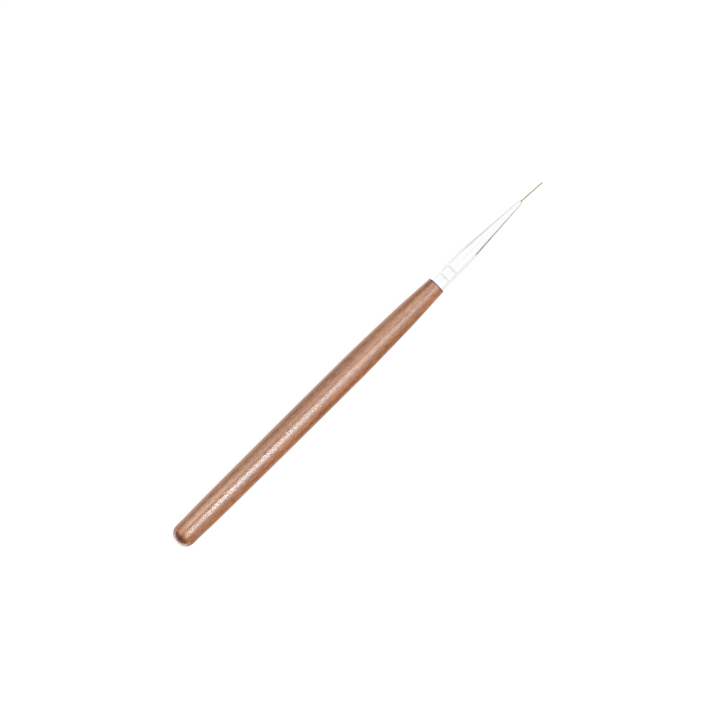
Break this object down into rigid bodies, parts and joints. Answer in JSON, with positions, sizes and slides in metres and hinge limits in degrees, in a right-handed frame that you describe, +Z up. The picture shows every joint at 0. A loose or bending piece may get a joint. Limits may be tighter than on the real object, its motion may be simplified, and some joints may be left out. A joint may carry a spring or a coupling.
{
  "type": "fine detail brush",
  "caption": "Fine detail brush: turned wooden handle with a round butt, crimped conical aluminium ferrule, and a very thin tuft of hairs that bends at the ferrule's mouth.",
  "frame": {"origin": "bottom centre of the whole brush's box, under its axis: the brush lies on its belly on z = 0 and its axis is 4.5 mm up", "axes": "+X along the brush's axis from the butt to the hairs, +Z up, +Y across; the tuft leans a little to -Y"},
  "size_m": [0.17, 0.009, 0.009],
  "materials": {
    "lacquered_wood": "warm brown straight-grained hardwood under clear gloss lacquer, thin dark seal round the front shoulder",
    "polished_aluminium": "bright polished",
    "clear_glue": "set clear glue",
    "dark_resin": "set dark red-brown resin, glossy",
    "thread": "waxed cotton thread",
    "hair": "golden tan filament, satin"
  },
  "bodies": {
    "brush": {"handle": "lacquered_wood", "ferrule": "polished_aluminium", "tenon_adhesive": "clear_glue", "root_adhesive": "dark_resin", "root_binding_thread": "thread", "hair_roots_centre": "hair", "hair_roots_inner": "hair", "hair_roots_outer": "hair"},
    "tuft": {"tuft_hairs_centre": "hair", "tuft_hairs_inner": "hair", "tuft_hairs_outer": "hair"}
  },
  "joints": [
    {"name": "tuft_bend", "type": "hinge", "parent": "brush", "child": "tuft", "pos_m": [0.07535, 0, 0.0045], "axis": [0, 0, 1], "range_deg": [-60, 60], "stiffness_Nm_per_rad": 0.00003}
  ]
}
